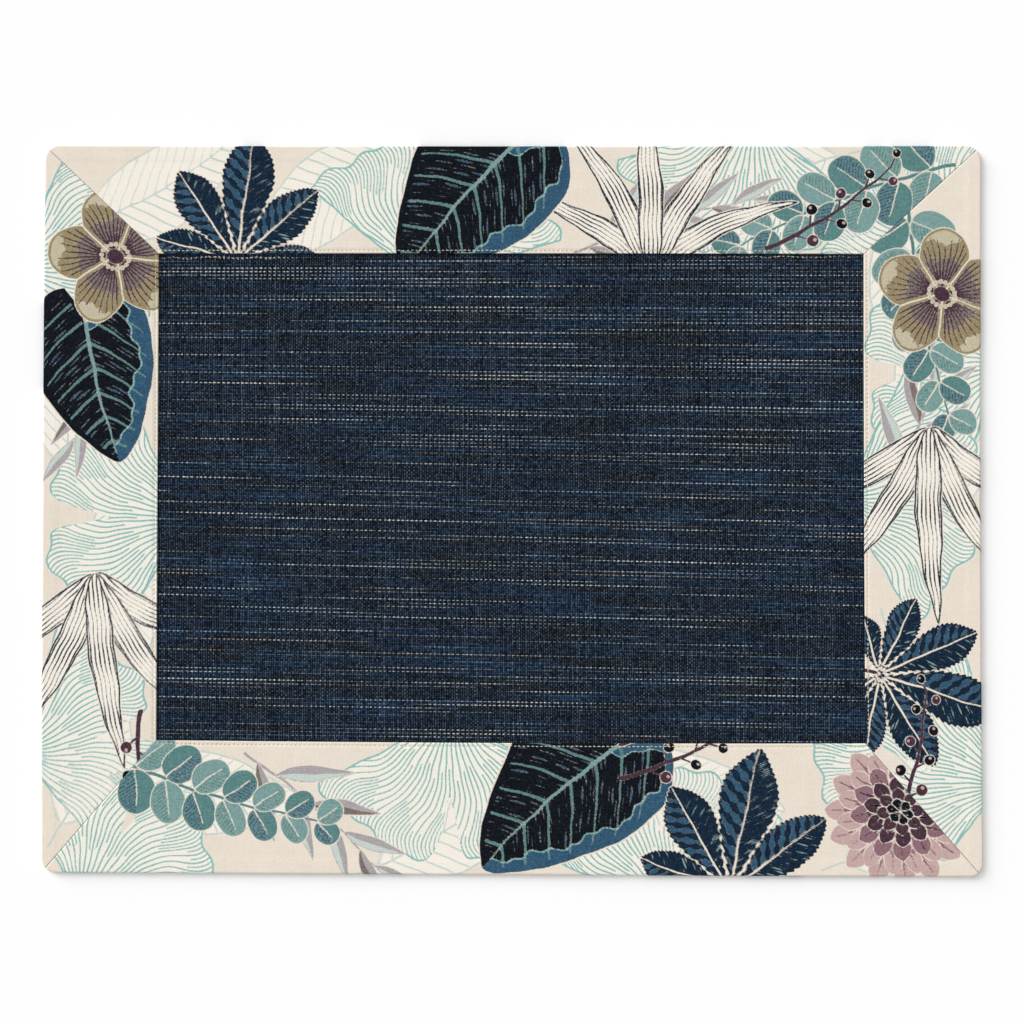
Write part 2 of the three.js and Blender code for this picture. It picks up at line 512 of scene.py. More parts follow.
def strap_tuft(u, v, size):
    """Five long strap leaves from one root, each arching off its own way, drawn in dark parallel veins."""
    straps = [(44, 0.5, 0.76), (-38, -0.44, 0.84), (22, 0.26, 0.92), (-16, -0.2, 0.9), (3, 0.1, 1.0)]
    layers = []
    for lean, bend, share in straps:
        along, across = turned(u, v, (0, 0), lean)
        across = across - bend * along * np.abs(along) / size
        leaf = blade(along, across, share * size, 0.07 * size, 0.7, 0.7)
        vein = inside(leaf, 0.2, lines(across + 1.0, 2.0) - 0.27 - 0.1 * np.sin(0.2 * along))
        edge = inside(leaf, 0.0, -leaf - 0.75)
        layers += [(None, leaf - 0.5), ("white", leaf), ("navy", vein), ("navy", edge)]
    return layers


def berry_twig(u, v, size):
    """A forked twig with round berries on short stalks."""
    bend, berries = 0.2 * size, 8
    layers = [("plum", stroke(u, v, arched(size, bend), 2.4, 1.0))]
    for at in range(berries):
        share = 0.22 + 0.78 * at / (berries - 1)
        base = (size * share, bend * share**2)
        along, across = turned(u, v, base, (58 - 20 * share) * (1 if at % 2 else -1) + 10)
        reach, radius = size * (0.13 - 0.03 * share), 2.9 - 0.9 * share
        berry = np.hypot(along - reach, across) - radius
        shine = np.hypot(along - reach - 0.3 * radius, across - 0.3 * radius) - 0.34 * radius
        layers += [("plum", stroke(along, across, [(0, 0), (reach, 0)], 1.1, 0.8))]
        layers += [(None, berry - 0.4), ("black" if at % 3 else "plum", berry), ("rose", shine)]
    return layers


def ghost_leaf(u, v, size):
    """A pale leaf in faint outline, with its midrib and side veins."""
    v = v - 0.2 * u**2 / size
    reach = np.abs(v)
    leaf = blade(u, v, size, 0.22 * size, 0.8, 0.85)
    vein = inside(leaf, 0.8, 0.74 * lines(u - 0.9 * reach, 0.07 * size) - 0.36)
    midrib = stroke(u, v, [(-0.15 * size, 0), (size, 0)], 1.0, 0.7)
    return [("white", leaf), ("mist", np.abs(leaf) - 0.36), ("mist", vein), ("mist", midrib)]


# Inks of the print
INKS = {
    "white": "#f3ece0",
    "mist": "#c4d2ca",
    "aqua": "#86bab6",
    "lilac": "#aaa3a6",
    "sand": "#c2b99f",
    "taupe": "#988a68",
    "umber": "#7c726b",
    "rose": "#c3a6a2",
    "mauve": "#8d6a74",
    "plum": "#4a323f",
    "sage": "#7b9d9a",
    "teal": "#5a8381",
    "petrol": "#33566f",
    "navy": "#152739",
    "black": "#11161d",
}
INK_ROWS = list(INKS)
INK_TRAP = 0.12
MOTIF_REACH = 1.35

# Where the motifs lie on each strip, from the bottom layer up: place on the mat, turn and size
Placing = namedtuple("Placing", "motif x y turn size")
PLACINGS = {
    "back": [
        Placing(ghost_leaf, -206, 136, 20, 90),
        Placing(ghost_leaf, -52, 172, 204, 92),
        Placing(ghost_leaf, 62, 128, 12, 100),
        Placing(ghost_leaf, 156, 170, 196, 84),
        Placing(fan_leaf, -44, 110, 78, 68),
        Placing(fan_leaf, 118, 188, 258, 68),
        Placing(fan_leaf, 214, 122, 126, 64),
        Placing(slim_sprig, 30, 124, 24, 92),
        Placing(round_sprig, 212, 166, 192, 112),
        Placing(chestnut_leaf, -132, 120, 82, 62),
        Placing(strap_tuft, 66, 114, 84, 88),
        Placing(heart_leaf, 2, 176, 222, 84),
        Placing(berry_twig, 122, 126, 22, 70),
    ],
    "left": [
        Placing(ghost_leaf, -214, 20, 84, 92),
        Placing(ghost_leaf, -178, 20, 258, 92),
        Placing(ghost_leaf, -216, -150, 62, 84),
        Placing(fan_leaf, -238, 118, 4, 66),
        Placing(fan_leaf, -156, -6, 176, 66),
        Placing(fan_leaf, -236, -116, 12, 66),
        Placing(slim_sprig, -186, 120, 262, 92),
        Placing(heart_leaf, -204, 92, 276, 70),
        Placing(blossom, -190, 122, 30, 32),
        Placing(strap_tuft, -200, -30, 270, 94),
        Placing(berry_twig, -178, -96, 262, 58),
    ],
    "front": [
        Placing(ghost_leaf, -196, -122, 338, 96),
        Placing(ghost_leaf, -64, -170, 24, 100),
        Placing(ghost_leaf, 40, -120, 334, 92),
        Placing(ghost_leaf, 160, -168, 22, 84),
        Placing(fan_leaf, -208, -186, 58, 68),
        Placing(fan_leaf, -28, -98, 268, 70),
        Placing(fan_leaf, 74, -190, 96, 66),
        Placing(fan_leaf, 206, -104, 236, 64),
        Placing(slim_sprig, -128, -116, 326, 96),
        Placing(round_sprig, -190, -118, 334, 104),
        Placing(heart_leaf, 52, -112, 214, 88),
        Placing(chestnut_leaf, 104, -182, 78, 70),
        Placing(dahlia, 186, -144, 10, 36),
        Placing(berry_twig, 52, -128, 14, 68),
    ],
    "right": [
        Placing(ghost_leaf, 184, 140, 278, 92),
        Placing(ghost_leaf, 214, 0, 96, 90),
        Placing(ghost_leaf, 180, -60, 286, 92),
        Placing(fan_leaf, 238, 70, 184, 68),
        Placing(fan_leaf, 158, 6, 2, 66),
        Placing(fan_leaf, 236, -132, 168, 64),
        Placing(slim_sprig, 184, 6, 76, 90),
        Placing(round_sprig, 190, 150, 272, 108),
        Placing(blossom, 206, 104, 15, 31),
        Placing(strap_tuft, 200, 40, 264, 94),
        Placing(chestnut_leaf, 176, -78, 342, 62),
        Placing(berry_twig, 184, -150, 66, 64),
    ],
}


def print_screens(placings, x, y):
    """One screen for each ink: at every place on the cloth, the distance to the edge of what that ink
    covers. Each layer knocks out the inks below it but for a narrow trap, then adds its own."""
    screens = np.full((len(INKS), len(x)), FAR)
    for placing in placings:
        near = np.flatnonzero(np.hypot(x - placing.x, y - placing.y) < MOTIF_REACH * placing.size)
        u, v = hand_drawn(*turned(x[near], y[near], (placing.x, placing.y), placing.turn))
        laid = screens[:, near]
        for ink, distance in placing.motif(u, v, placing.size):
            np.maximum(laid, -distance - INK_TRAP, out=laid)
            if ink is not None:
                own = laid[INK_ROWS.index(ink)]
                np.minimum(own, distance, out=own)
        screens[:, near] = laid
    return screens


# Materials


def add_node(tree, kind, inputs=(), output=0, stops=(), **settings):
    """Adds a node with its settings, links or sets its inputs, sets a ramp's colours at their places, and
    gives back one of its outputs."""
    made = tree.nodes.new("ShaderNode" + kind)
    for name, value in settings.items():
        setattr(made, name, value)
    pairs = inputs.items() if isinstance(inputs, dict) else enumerate(inputs)
    for key, value in pairs:
        if isinstance(value, bpy.types.NodeSocket):
            tree.links.new(value, made.inputs[key])
        else:
            made.inputs[key].default_value = value
    for _ in stops[2:]:
        made.color_ramp.elements.new(0.5)
    for at, (place, code) in enumerate(stops):
        made.color_ramp.elements[at].position = place
        made.color_ramp.elements[at].color = linear(code)
    return made.outputs[output] if made.outputs else None


def new_material(name):
    """A material without nodes, and the function that adds nodes to it."""
    material = bpy.data.materials.new(name)
    material.use_nodes = True
    material.node_tree.nodes.clear()
    return material, partial(add_node, material.node_tree)


def weave(node, place, warp_pitch, pick_pitch, drift):
    """A plain weave along x and y: counts threads each way, wandering by a drift in threads over about
    90 mm, and gives the thread and pick numbers, whether the pick lies on top, and the round sections of
    thread and pick, 1 - (2 share - 1)^2."""
    wander = node("TexNoise", {"Vector": place, "Scale": 1 / (90 * MM), "Detail": 4.0}, output=1)
    wander = node("VectorMath", [wander, (0.5, 0.5, 0.5)], operation="SUBTRACT")
    per_metre = (1 / (warp_pitch * MM), 1 / (pick_pitch * MM), 0)
    counts = node("VectorMath", [place, per_metre], operation="MULTIPLY")
    counts = node("VectorMath", [wander, drift, counts], operation="MULTIPLY_ADD")
    whole = node("VectorMath", [counts], operation="FLOOR")
    part = node("VectorMath", [counts], operation="FRACTION")
    thread = node("SeparateXYZ", [whole])
    pick = thread.node.outputs[1]
    both = node("Math", [thread, pick], operation="ADD")
    half = node("Math", [both, 0.5], operation="MULTIPLY")
    odd = node("Math", [half], operation="FRACT")
    pick_on_top = node("Math", [odd, 0.25], operation="GREATER_THAN")
    sections = []
    for share in node("SeparateXYZ", [part]).node.outputs[:2]:
        off = node("Math", [share, 2.0, -1.0], operation="MULTIPLY_ADD")
        square = node("Math", [off, off], operation="MULTIPLY")
        sections.append(node("Math", [1.0, square], operation="SUBTRACT"))
    return thread, pick, pick_on_top, *sections


def printed_cotton():
    """Screen-printed plain cotton, unbleached: a matt cream cloth with a fine weave, flat inks that the
    threads break up a little, crisp but slightly bled edges, and next to no shine."""
    material, node = new_material("printed_cotton")
    place = node("TexCoord", output=3)
    # The thread spacing of about 0.5 mm is drawn at 0.8 mm, so that it shows
    *_, warp_section, pick_section = weave(node, place, 0.8, 0.84, (2.0, 2.0, 0.0))
    bleed = node("TexNoise", {"Vector": place, "Scale": 1 / (1.1 * MM), "Detail": 2.0})
    bleed = node("Math", [bleed, 0.42, -0.21], operation="MULTIPLY_ADD")
    fleck = node("TexNoise", {"Vector": place, "Scale": 1 / (14 * MM), "Detail": 6.0})
    colour = node("ValToRGB", [fleck], stops=[(0.3, "#e6dbcb"), (0.5, "#e8ddce"), (0.7, "#eadfd1")])
    for ink, code in INKS.items():
        distance = node("Attribute", output=2, attribute_name="ink_" + ink)
        distance = node("Math", [distance, bleed], operation="ADD")
        cover = node("MapRange", [distance, -0.16, 0.16, 1.0, 0.0])
        colour = node("Mix", {0: cover, 6: colour, 7: linear(code)}, output=2, data_type="RGBA")
    # Painted shade of the weave: the colour is darker between the threads' crowns, and also varies slowly
    # at random in tone
    relief = node("Math", [warp_section, pick_section], operation="MULTIPLY")
    uneven = node("TexNoise", {"Vector": place, "Scale": 1 / (5 * MM), "Detail": 5.0})
    shade = node("Math", [relief, 0.08, 0.92], operation="MULTIPLY_ADD")
    shade = node("Math", [uneven, 0.05, shade], operation="MULTIPLY_ADD")
    colour = node("VectorMath", {0: colour, "Scale": shade}, operation="SCALE")
    # Ink sinks in unevenly, at each crossing and along thicker yarn for about 5 mm: dark inks show it most
    density = 0.58
    for stretch, depth in (((5, 0.9, 9), 0.16), ((0.9, 5, 9), 0.16), ((0.9, 0.9, 9), 0.5)):
        yarn = node("Mapping", {"Vector": place, "Scale": [1 / (size * MM) for size in stretch]})
        yarn = node("TexNoise", {"Vector": yarn, "Scale": 1.0, "Detail": 1.0})
        density = node("Math", [yarn, depth, density], operation="MULTIPLY_ADD")
    colour = node("Gamma", [colour, density])
    bump = node("Bump", {"Height": relief, "Distance": 0.1 * MM, "Strength": 0.5})
    surface = node("BsdfPrincipled", {
        "Base Color": colour, "Roughness": 0.92, "IOR": 1.45, "Specular IOR Level": 0.06,
        "Sheen Weight": 0.02, "Sheen Roughness": 0.5, "Normal": bump,
    })
    node("OutputMaterial", [surface])
    return material


def slub_canvas():
    """Indigo slub canvas, a plain weave of grey-blue warp and two space-dyed picks in turn, a dark one and
    a lighter slub: matt, with fine upright lines and, across them, stretches of brown-black, indigo and
    pale grey-blue."""
    material, node = new_material("slub_canvas")
    place_x = node("SeparateXYZ", [node("TexCoord", output=3)])
    place_y = place_x.node.outputs[1]
    # The picks lie askew, so the weave is drawn on a height that follows them
    fade = node("Math", [place_y, 1 / (SKEW_FADE * MM), -SKEW_HEIGHT / SKEW_FADE], operation="MULTIPLY_ADD")
    fade = node("Math", [fade], operation="COSINE")
    slope = node("Math", [fade, SKEW_SLOPE], operation="MULTIPLY")
    straight_y = node("Math", [slope, place_x, place_y], operation="MULTIPLY_ADD")
    place = node("CombineXYZ", [place_x, straight_y, 0.0])
    woven = weave(node, place, WARP_PITCH, PICK_PITCH, (4.5, 1.0, 0.0))
    thread, pick, pick_on_top, warp_section, pick_section = woven

    def dye(number, along, repeat):
        """How far along its colours a yarn is: noise of its own for each yarn, over a repeat in mm."""
        across = node("Math", [number, 7.31], operation="MULTIPLY")
        along = node("Math", [along, 1 / (repeat * MM)], operation="MULTIPLY")
        where = node("CombineXYZ", [across, along, 0.0])
        return node("TexNoise", {"Vector": where, "Scale": 1.0, "Detail": 2.0})

    # Neighbouring picks come off one skein, so dyed stretches lie together in patches with ragged ends
    skein = node("Mapping", {"Vector": place, "Scale": (1.0, 4.5, 1.0)})
    skein = node("TexNoise", {"Vector": skein, "Scale": 1 / (50 * MM), "Detail": 2.0})
    skein = node("Math", [skein, 0.42], operation="MULTIPLY")
    tint = node("Math", [dye(pick, place_x, 90), 0.58, skein], operation="MULTIPLY_ADD")
    dark_dye = node("ValToRGB", [tint], stops=[
        (0.38, "#211a14"), (0.46, "#11151c"), (0.53, "#0c2240"), (0.6, "#0e3662"),
    ])
    slub_dye = node("ValToRGB", [tint], stops=[
        (0.36, "#33281f"), (0.45, "#202831"), (0.52, "#193655"), (0.58, "#2c547a"), (0.66, "#66839f"),
    ])
    slub_pick = node("Math", [pick, 2.0], operation="FLOORED_MODULO")
    pick_dye = node("Mix", {0: slub_pick, 6: dark_dye, 7: slub_dye}, output=2, data_type="RGBA")
    warp_dye = node("ValToRGB", [dye(thread, place_y, 160)], stops=[
        (0.3, "#313b47"), (0.5, "#3f4b58"), (0.7, "#505d6b"),
    ])
    # Painted shade: each pick and warp thread is darker towards its edges, and darkest in the gaps between
    # threads
    pick_shade = node("Math", [warp_section, 0.8, 0.2], operation="MULTIPLY_ADD")
    pick_shade = node("Math", [pick_shade, pick_section], operation="MULTIPLY")
    warp_shade = node("Math", [pick_section, 0.6, 0.4], operation="MULTIPLY_ADD")
    warp_round = node("Math", [warp_section, 1.6], operation="POWER")
    warp_shade = node("Math", [warp_shade, warp_round], operation="MULTIPLY")
    # The warp is painted lighter over the thicker slub picks, which lift it into the light, and darker over
    # the dark picks: a painted light and shade
    warp_painted_light = node("Math", [slub_pick, 0.2, 0.9], operation="MULTIPLY_ADD")
    warp_shade = node("Math", [warp_shade, warp_painted_light], operation="MULTIPLY")
    pick_yarn = node("VectorMath", {0: pick_dye, "Scale": pick_shade}, operation="SCALE")
    warp_yarn = node("VectorMath", {0: warp_dye, "Scale": warp_shade}, operation="SCALE")
    # The warp stays in sight, thinner, where it dips under a pick
    warp_share = node("Math", [pick_on_top, -0.5, 1.0], operation="MULTIPLY_ADD")
    warp_share = node("Math", [warp_share, warp_section], operation="MULTIPLY")
    warp_share = node("MapRange", [warp_share, 0.25, 0.75, 0.0, 1.0])
    colour = node("Mix", {0: warp_share, 6: pick_yarn, 7: warp_yarn}, output=2, data_type="RGBA")
    # Yarn is thicker or thinner at each crossing, so no two catch the light alike: each crossing's colour
    # is scaled at random, a painted light and shade
    crossing = node("CombineXYZ", [thread, pick, 0.0])
    crossing = node("TexWhiteNoise", {"Vector": crossing})
    crossing = node("Math", [crossing, 1.36, 0.32], operation="MULTIPLY_ADD")
    colour = node("VectorMath", {0: colour, "Scale": crossing}, operation="SCALE")
    relief = node("Math", [warp_section, pick_section], operation="MULTIPLY")
    bump = node("Bump", {"Height": relief, "Distance": 0.3 * MM, "Strength": 0.6})
    surface = node("BsdfPrincipled", {
        "Base Color": colour, "Roughness": 0.9, "IOR": 1.45, "Specular IOR Level": 0.05, "Normal": bump,
    })
    node("OutputMaterial", [surface])
    return material


def slub_yarn():
    """Undyed and half-dyed cotton slub, loosely spun: soft cream floats that fade into the indigo."""
    material, node = new_material("slub_yarn")
    place = node("TexCoord", output=3)
    shade = node("Attribute", output=2, attribute_name="dye")
    colour = node("ValToRGB", [shade], stops=[
        (0.0, "#1b2a3b"), (0.25, "#54616e"), (0.5, "#90989c"), (0.75, "#c3cacc"), (1.0, "#eaebe8"),
    ])
    warmth = node("Attribute", output=2, attribute_name="warmth")
    tint = node("ValToRGB", [warmth], stops=[
        (0.0, "#c4d8e6"), (0.3, "#fbfaf6"), (0.65, "#fdf3e3"), (1.0, "#eaceb0"),
    ])
    colour = node("VectorMath", [colour, tint], operation="MULTIPLY")
    fuzz = node("TexNoise", {"Vector": place, "Scale": 1 / (0.35 * MM), "Detail": 2.0})
    bump = node("Bump", {"Height": fuzz, "Distance": 0.08 * MM, "Strength": 0.5})
    surface = node("BsdfPrincipled", {
        "Base Color": colour, "Roughness": 0.9, "Specular IOR Level": 0.1, "Normal": bump,
    })
    node("OutputMaterial", [surface])
    return material


def sewing_cotton():
    """Mercerised cotton sewing thread in ecru: a faint sheen along its twist."""
    material, node = new_material("sewing_cotton")
    place = node("TexCoord", output=3)
    fuzz = node("TexNoise", {"Vector": place, "Scale": 1 / (0.6 * MM), "Detail": 3.0})
    colour = node("ValToRGB", [fuzz], stops=[(0.3, "#b9ae98"), (0.7, "#d9d0bd")])
    bump = node("Bump", {"Height": fuzz, "Distance": 0.05 * MM, "Strength": 0.4})
    surface = node("BsdfPrincipled", {
        "Base Color": colour, "Roughness": 0.6, "Specular IOR Level": 0.3, "Sheen Weight": 0.1,
        "Normal": bump,
    })
    node("OutputMaterial", [surface])
    return material


def studio_paper():
    """White seamless paper: plain and matt."""
    material, node = new_material("studio_paper")
    surface = node("BsdfPrincipled", {
        "Base Color": linear("#fbfbfb"), "Roughness": 1.0, "Specular IOR Level": 0.0,
    })
    node("OutputMaterial", [surface])
    return material


# Border

Section = namedtuple("Section", "across height printed upper")


def border_section(width, front_rows):
    """A strip's closed section from its turned inner edge over the front, round the folded outer edge and
    back beneath: distance from the inner edge, height, place along the cloth for the print, and how far it
    faces up. Turn and fold are half ellipses."""
    turn = (BORDER_TOP - LAP_BOTTOM) / 2
    fold = (BORDER_TOP - FLOOR_CLEARANCE) / 2
    angle = np.linspace(-math.pi / 2, math.pi / 2, TURN_ROWS)
    turn_at, turn_z = turn - turn * np.cos(angle), LAP_BOTTOM + turn + turn * np.sin(angle)
    turn_print = turn + turn * (angle - math.pi / 2)
    turn_up = np.sin(angle).clip(0)
    front_at = np.linspace(turn, width - FOLD_REACH, front_rows + 2)[1:-1]
    front_z = np.full(front_rows, BORDER_TOP)
    angle = np.linspace(math.pi / 2, -math.pi / 2, FOLD_ROWS)
    fold_at = width - FOLD_REACH + FOLD_REACH * np.cos(angle)
    fold_z = FLOOR_CLEARANCE + fold + fold * np.sin(angle)
    fold_print = width - FOLD_REACH + (fold + FOLD_REACH) / 2 * (math.pi / 2 - angle)
    fold_up = np.sin(angle).clip(0)
    hem_at = np.array([width - 0.6 * HEM_TURN, width - HEM_TURN, width - HEM_TURN])
    hem_z = np.array([FLOOR_CLEARANCE, FLOOR_CLEARANCE, LAP_BOTTOM])
    back_at = np.linspace(width - HEM_TURN, turn, HIDDEN_ROWS + 2)[1:-1]
    back_z = np.full(HIDDEN_ROWS, LAP_BOTTOM)
    return Section(
        np.concatenate([turn_at, front_at, fold_at, hem_at, back_at]),
        np.concatenate([turn_z, front_z, fold_z, hem_z, back_z]),
        np.concatenate([turn_print, front_at, fold_print, hem_at + 4 * fold, back_at]),
        np.concatenate([turn_up, np.ones(front_rows), fold_up, np.zeros(HEM_ROWS + HIDDEN_ROWS)]),
    )


def mitre_distance(points, corner):
    """Distance in plan from a corner's mitre line, which runs from the opening to the outer corner."""
    start, end = open_corner(corner), rim_corner(corner)
    way = (end - start) / np.linalg.norm(end - start)
    return np.abs((points[..., 0] - start[0]) * way[1] - (points[..., 1] - start[1]) * way[0])


def border_relief(strip, points, across, width, run):
    """How far the front stands off its flat height: a hump downwards for the stitching's groove, deeper
    between stitches, with puckers beside it, one for the mitre seams, the thicker hem along the outer edge,
    and the slow billow of cloth laid on a table, a sum of sines."""
    x, y = points[..., 0], points[..., 1]
    stitch = np.cos(2 * math.pi * run / STITCH_PITCH)
    groove = -GROOVE_DEPTH * hump(across - STITCH_INSET, GROOVE_WIDTH) * (1 - 0.3 * stitch)
    pucker = 0.05 * np.sin(run / 1.9 + 1.5 * np.sin(run / 11)) * np.exp(-across / 5)
    seams = np.minimum(mitre_distance(points, strip.start), mitre_distance(points, strip.end))
    seam = -SEAM_DEPTH * hump(seams, SEAM_WIDTH)
    hem = HEM_STEP * ease(HEM_TURN + 3, HEM_TURN, width - across) - HEM_STEP
    billow = 0.07 * np.sin(x / 17 + 1.3 * np.sin(y / 29)) + 0.06 * np.sin(y / 13 + x / 37)
    return groove + pucker + seam + hem + billow


def border_strip(name, strip, material):
    """A strip of printed cotton: its section carried along the ruled surface from opening to outer edge."""
    middle = np.array([0.5])
    width = float(np.linalg.norm(rim_edge(strip, middle) - open_edge(strip, middle)))
    inner_length = float(np.linalg.norm(open_corner(strip.end) - open_corner(strip.start)))
    outer_length = float(np.linalg.norm(rim_corner(strip.end) - rim_corner(strip.start)))
    length = (inner_length + outer_length) / 2
    other_rows = TURN_ROWS + FOLD_ROWS + HEM_ROWS + HIDDEN_ROWS
    front_rows = int(math.sqrt(STRIP_FACES * width / length)) - other_rows // 2
    stations = STRIP_FACES // (front_rows + other_rows)
    section = border_section(width, front_rows)
    share = np.linspace(SEAM_GAP, 1 - SEAM_GAP, stations)
    inner, outer = open_edge(strip, share)[:, None, :], rim_edge(strip, share)[:, None, :]
    plan = inner + (outer - inner) * (section.across / width)[None, :, None]
    cloth = inner + (outer - inner) * (section.printed / width)[None, :, None]
    run = np.broadcast_to((share * inner_length)[:, None], plan.shape[:2])
    lift = border_relief(strip, plan, section.across[None, :], width, run) * section.upper[None, :]
    points = np.concatenate([plan, (section.height[None, :] + lift)[..., None]], axis=2)
    piece = carried_section("cloth_border_" + name, points, material)
    screens = print_screens(PLACINGS[name], cloth[..., 0].ravel(), cloth[..., 1].ravel())
    for ink, distance in zip(INKS, screens):
        set_values(piece, "ink_" + ink, np.clip(distance, -3, 3))
    # On the flat map what faces down gets a fifth of its width
    across = np.append(section.across, section.across[0])
    height = np.append(section.height, section.height[0])
    steps = np.hypot(np.diff(across), np.diff(height)).clip(0.05)
    steps = np.where(section.upper > 0.5, steps, 0.2 * steps)
    lay_flat(piece, share, places_from(steps), bands=3)
    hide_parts("border_" + name)
    return piece


# Sewing


def pillow_row(centres, ways, lengths, widths, heights, rings, sides):
    """Many small rounded stitches at once, closed at both ends and joined in one mesh: each is a row of
    rings along its way, radius = sqrt(1.2 - t^2) for t from -1 to 1, bent down to its ends by t^2."""
    t = np.linspace(-1, 1, rings)
    fat = np.sqrt(1.2 - t**2)
    angle = np.linspace(0, 2 * math.pi, sides, endpoint=False)
    across = np.stack([-ways[:, 1], ways[:, 0]], axis=1)
    shape = (len(centres), rings, sides)
    along = np.broadcast_to((lengths[:, None] / 2 * t)[:, :, None], shape)
    side = widths[:, None, None] / 2 * fat[None, :, None] * np.cos(angle)
    rise = heights[:, None, None] / 2 * fat[None, :, None] * np.sin(angle)
    plan = centres[:, None, None, :2] + along[..., None] * ways[:, None, None, :]
    plan = plan + side[..., None] * across[:, None, None, :]
    bend = -0.5 * heights[:, None, None] * t[None, :, None] ** 2
    up = centres[:, None, None, 2] + rise + bend
    points = np.concatenate([plan, up[..., None]], axis=3).reshape(-1, 3)
    cap = np.array([(0, at, at + 1, at + 2) for at in range(1, sides - 2, 2)])
    one = np.concatenate([grid_faces(rings, sides), cap[:, ::-1], cap + (rings - 1) * sides])
    faces = one[None] + (np.arange(len(centres)) * rings * sides)[:, None, None]
    return points, faces.reshape(-1, 4)


def topstitching(material):
    """Running stitches a little way in from the border's inner edge, on all four sides, each a little off
    its place, way and length."""
    centres, ways = [], []
    for strip in STRIPS.values():
        length = np.linalg.norm(open_corner(strip.end) - open_corner(strip.start))
        count = int(length / STITCH_PITCH)
        share = (np.arange(count) + 0.5) / count
        edge = open_edge(strip, share)
        way = np.gradient(edge, axis=0)
        way = way / np.linalg.norm(way, axis=1, keepdims=True)
        outward = np.stack([way[:, 1], -way[:, 0]], axis=1)
        place = edge + outward * STITCH_INSET
        centres.append(np.column_stack([place, np.full(count, BORDER_TOP - STITCH_SINK)]))
        ways.append(way)
    centres, ways = np.concatenate(centres), np.concatenate(ways)
    draw = np.random.default_rng(SEED)
    tilt = draw.normal(0, STITCH_WAVER, len(ways))
    ways = np.stack([ways[:, 0] - tilt * ways[:, 1], ways[:, 1] + tilt * ways[:, 0]], axis=1)
    centres[:, :2] += draw.normal(0, STITCH_WAVER, (len(centres), 2))
    lengths = STITCH_LENGTH * draw.uniform(0.88, 1.08, len(centres))
    thick = np.full(len(centres), STITCH_THICKNESS)
    points, faces = pillow_row(centres, ways, lengths, thick * 1.1, thick, rings=5, sides=6)
    return new_piece("topstitching", points, faces, material)


# Panel


def woven_panel(material):
    """The panel: a thin closed section along x, carried along y, whose upper face has a slow unevenness,
    z = top - 0.06 + 0.05 sin(x / 21 + 1.4 sin(y / 33)) sin(y / 17 + 0.6)."""
    upper_x = np.linspace(PANEL_LOW[0], PANEL_HIGH[0], PANEL_COLUMNS)
    at_x = np.concatenate([upper_x[:1], upper_x, upper_x[-1:]])
    at_y = np.linspace(PANEL_LOW[1], PANEL_HIGH[1], PANEL_ROWS)
    x, y = np.meshgrid(at_x, at_y)
    z = PANEL_TOP - 0.06 + 0.05 * np.sin(x / 21 + 1.4 * np.sin(y / 33)) * np.sin(y / 17 + 0.6)
    z[:, [0, -1]] = FLOOR_CLEARANCE
    piece = carried_section("cloth_panel", np.stack([x, y, z], axis=-1), material)
    # On the flat map what the border and the table hide gets little room
    low, high = opening_box()
    weights = [
        np.where((at[1:] > low[axis]) & (at[:-1] < high[axis]), 1.0, 0.1) * np.diff(at).clip(PANEL_TOP)
        for axis, at in enumerate((at_x, at_y))]
    underside = 0.03 * np.ptp(at_x)
    lay_flat(piece, places_from(weights[1]), places_from(np.append(weights[0], underside)), bands=1)
    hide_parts("panel")
    return piece


SlubRun = namedtuple("SlubRun", "start span row strength warmth waver")


def slub_runs(draw):
    """Where the pale stretches of slub lie, a column for each of their sizes: spread evenly up the panel
    and, by steps of the golden share, across it, two in five with a twin on the next slub pick, and two
    ragged ones drawn up along the opening's far edge."""
    (left, low), (right, high) = opening_box()
    across = np.arange(SLUB_RUNS) * GOLDEN_SHARE % 1
    runs = SlubRun(
        start=left - 70 + (right - left + 60) * across,
        span=26 + draw.gamma(2.6, 25.0, SLUB_RUNS),
        row=np.linspace(low, high, SLUB_RUNS) + draw.normal(0, 1.2, SLUB_RUNS),
        strength=0.26 + 0.62 * draw.beta(1.8, 2.0, SLUB_RUNS),
        warmth=draw.choice([0.1, 0.35, 0.5, 0.8], SLUB_RUNS, p=[0.32, 0.37, 0.21, 0.1]),
        waver=np.zeros(SLUB_RUNS))
    twins = np.flatnonzero(draw.random(SLUB_RUNS) < 0.4)
    twin = SlubRun(*(column[twins] for column in runs))
    twin = twin._replace(
        start=twin.start + draw.normal(0, 0.35, len(twins)) * twin.span,
        row=twin.row - 2 * PICK_PITCH,
        strength=twin.strength * draw.uniform(0.6, 1.1, len(twins)))
    edge = SlubRun(
        start=[left, right - 80], span=[72, 84], row=[high - 1.0] * 2,
        strength=[0.8, 0.75], warmth=[0.8, 0.9], waver=[0.45, 0.3])
    return SlubRun(*(np.concatenate(columns) for columns in zip(runs, twin, edge)))


def numbered(counts):
    """For rows of so many things each: the number of each one's row, and its own number in that row."""
    rows = np.repeat(np.arange(len(counts)), counts)
    return rows, np.arange(len(rows)) - np.repeat(np.cumsum(counts) - counts, counts)


def askew(x, straight_y):
    """The height at x of a pick that would lie at straight_y if the cloth were square."""
    return straight_y - SKEW_SLOPE * x * np.cos((straight_y - SKEW_HEIGHT) / SKEW_FADE)


def warp_knots(draw):
    """Pale knots in short upright rows, one wherever a warp thread lies over a pick: x, y and dye."""
    (left, low), (right, high) = opening_box()
    row, order = numbered(draw.integers(3, 7, WARP_KNOTS))
    thread = 2 * np.round(draw.uniform(left, right, WARP_KNOTS) / (2 * WARP_PITCH)) + 0.5
    pick = 2 * np.round(draw.uniform(low, high - 20, WARP_KNOTS) / (2 * PICK_PITCH)) + 0.5
    x = thread[row] * WARP_PITCH + draw.normal(0, 0.1, len(row))
    return x, askew(x, (pick[row] + 2 * order) * PICK_PITCH), draw.uniform(0.16, 0.42, len(row))


